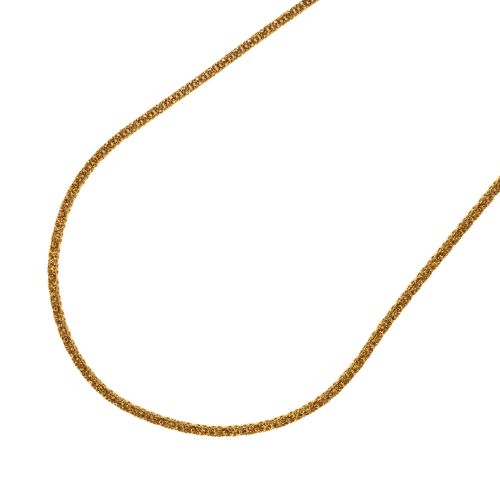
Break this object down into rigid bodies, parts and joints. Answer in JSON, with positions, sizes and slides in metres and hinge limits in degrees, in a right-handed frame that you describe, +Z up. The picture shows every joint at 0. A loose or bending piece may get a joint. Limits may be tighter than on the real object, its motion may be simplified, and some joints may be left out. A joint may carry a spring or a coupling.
{
  "type": "sautoir necklace",
  "caption": "Long gold chain necklace with a round-section woven link chain and a slim barrel clasp, lying flat as a closed loop.",
  "frame": {"origin": "centre of the lying loop, on the surface that it rests on", "axes": "+Y from the bend that hangs lowest when worn towards the clasp, +X across the loop, +Z up from the surface"},
  "size_m": [0.1024, 0.3586, 0.0036],
  "materials": {
    "chain_gold": "polished yellow gold",
    "clasp_gold": "polished yellow gold"
  },
  "bodies": {
    "root": {"chain": "chain_gold", "clasp": "clasp_gold"}
  },
  "joints": []
}
